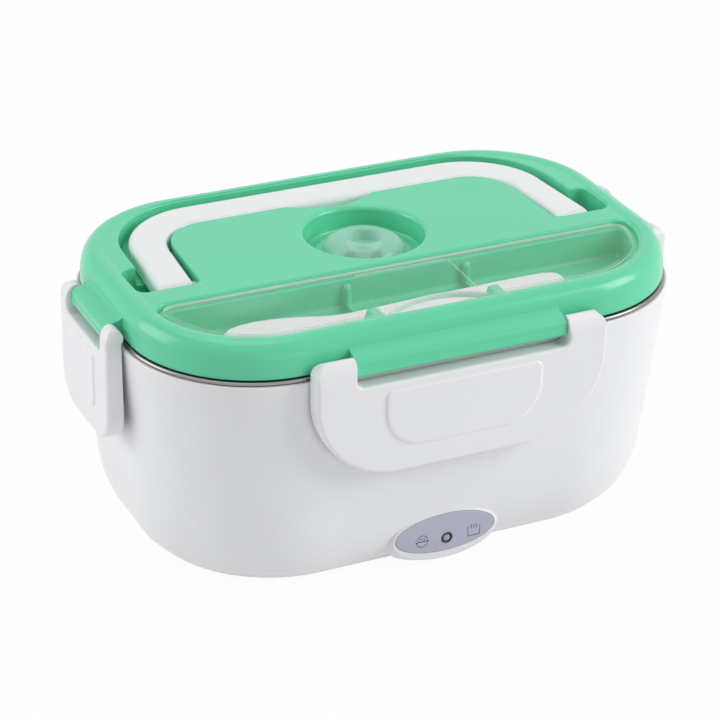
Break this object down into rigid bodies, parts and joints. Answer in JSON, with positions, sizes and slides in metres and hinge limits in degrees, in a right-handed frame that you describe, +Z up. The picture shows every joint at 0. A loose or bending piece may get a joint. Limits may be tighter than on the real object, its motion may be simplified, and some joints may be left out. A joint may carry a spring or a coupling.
{
  "type": "electric lunch box",
  "caption": "Heated lunch box: rounded housing, lift-out steel container, mint lid with folding handle, steam valve and cutlery recess, held by snap latches.",
  "frame": {"origin": "centre of the footprint, on the surface that the feet stand on", "axes": "+X along the box's length to the right end, +Y to the back with the power inlet, +Z up; the front with the lamp faces -Y"},
  "size_m": [0.2368, 0.1608, 0.1055],
  "materials": {
    "white_plastic": "satin",
    "mint_plastic": "gloss",
    "clear_plastic": "clear gloss",
    "silicone": "translucent satin",
    "panel_grey": "satin",
    "lamp_lens": "frosted",
    "dark_plastic": "satin",
    "rubber": "matt",
    "steel": "satin",
    "aluminium": "satin",
    "heater_cover": "amber film",
    "ceramic": "matt",
    "board_green": "solder mask",
    "wire_red": "satin"
  },
  "bodies": {
    "housing": {"housing_shell": "white_plastic", "inner_well": "white_plastic", "heater_plate": "aluminium", "ptc_heater": "heater_cover", "heater_bracket": "steel", "heater_screws": "steel", "thermostat": "ceramic", "thermal_fuse": "steel", "base_cover": "white_plastic", "base_screws": "steel", "rubber_feet": "rubber", "power_inlet": "dark_plastic", "inlet_pins": "steel", "indicator_panel": "panel_grey", "led_lamp": "lamp_lens", "led_bezel": "dark_plastic", "led_board": "board_green", "wiring": "wire_red"},
    "container": {"steel_container": "steel"},
    "tray": {"side_tray": "white_plastic"},
    "lid": {"lid_shell": "mint_plastic", "lid_gasket": "silicone"},
    "handle": {"carry_handle": "white_plastic"},
    "cover": {"cutlery_cover": "clear_plastic"},
    "cutlery": {"spoon": "white_plastic"},
    "valve": {"steam_valve": "silicone"},
    "pin_front": {"latch_pin_front": "steel"},
    "latch_front": {"latch_front": "white_plastic"},
    "pin_back": {"latch_pin_back": "steel"},
    "latch_back": {"latch_back": "white_plastic"},
    "pin_left": {"latch_pin_left": "steel"},
    "latch_left": {"latch_left": "white_plastic"},
    "pin_right": {"latch_pin_right": "steel"},
    "latch_right": {"latch_right": "white_plastic"}
  },
  "joints": [
    {"name": "lid_lift", "type": "slide", "parent": "housing", "child": "lid", "axis": [0, 0, 1], "range_m": [0, 0.03]},
    {"name": "container_lift", "type": "slide", "parent": "housing", "child": "container", "axis": [0, 0, 1], "range_m": [0, 0.015]},
    {"name": "tray_lift", "type": "slide", "parent": "container", "child": "tray", "axis": [0, 0, 1], "range_m": [0, 0.0075]},
    {"name": "handle_pivot", "type": "hinge", "parent": "lid", "child": "handle", "pos_m": [0, -0.0015, 0.0995], "axis": [1, 0, 0], "range_deg": [0, 90]},
    {"name": "cover_lift", "type": "slide", "parent": "lid", "child": "cover", "axis": [0, 0, 1], "range_m": [0, 0.04]},
    {"name": "spoon_lift", "type": "slide", "parent": "lid", "child": "cutlery", "axis": [0, 0, 1], "range_m": [0, 0.02]},
    {"name": "valve_pull", "type": "slide", "parent": "lid", "child": "valve", "axis": [0, 0, 1], "range_m": [0, 0.008]},
    {"name": "pin_turn_front", "type": "hinge", "parent": "lid", "child": "pin_front", "pos_m": [0, -0.0752, 0.0956], "axis": [-1, 0, 0], "range_deg": [0, 86]},
    {"name": "latch_front_swing", "type": "hinge", "parent": "pin_front", "child": "latch_front", "pos_m": [0, -0.0752, 0.0956], "axis": [-1, 0, 0], "range_deg": [0, 85]},
    {"name": "pin_turn_back", "type": "hinge", "parent": "lid", "child": "pin_back", "pos_m": [0, 0.0752, 0.0956], "axis": [1, 0, 0], "range_deg": [0, 86]},
    {"name": "latch_back_swing", "type": "hinge", "parent": "pin_back", "child": "latch_back", "pos_m": [0, 0.0752, 0.0956], "axis": [1, 0, 0], "range_deg": [0, 85]},
    {"name": "pin_turn_left", "type": "hinge", "parent": "lid", "child": "pin_left", "pos_m": [-0.1132, 0.0025, 0.0956], "axis": [0, 1, 0], "range_deg": [0, 86]},
    {"name": "latch_left_swing", "type": "hinge", "parent": "pin_left", "child": "latch_left", "pos_m": [-0.1132, 0.0025, 0.0956], "axis": [0, 1, 0], "range_deg": [0, 85]},
    {"name": "pin_turn_right", "type": "hinge", "parent": "lid", "child": "pin_right", "pos_m": [0.1132, 0.0025, 0.0956], "axis": [0, -1, 0], "range_deg": [0, 86]},
    {"name": "latch_right_swing", "type": "hinge", "parent": "pin_right", "child": "latch_right", "pos_m": [0.1132, 0.0025, 0.0956], "axis": [0, -1, 0], "range_deg": [0, 85]}
  ],
  "couplings": [
    {"joint": "container_lift", "follows": "lid_lift", "ratio": 0.5},
    {"joint": "tray_lift", "follows": "lid_lift", "ratio": 0.25},
    {"joint": "spoon_lift", "follows": "cover_lift", "ratio": 0.5},
    {"joint": "pin_turn_front", "follows": "lid_lift", "rad_per_m": 50},
    {"joint": "pin_turn_back", "follows": "lid_lift", "rad_per_m": 50},
    {"joint": "pin_turn_left", "follows": "lid_lift", "rad_per_m": 50},
    {"joint": "pin_turn_right", "follows": "lid_lift", "rad_per_m": 50}
  ]
}
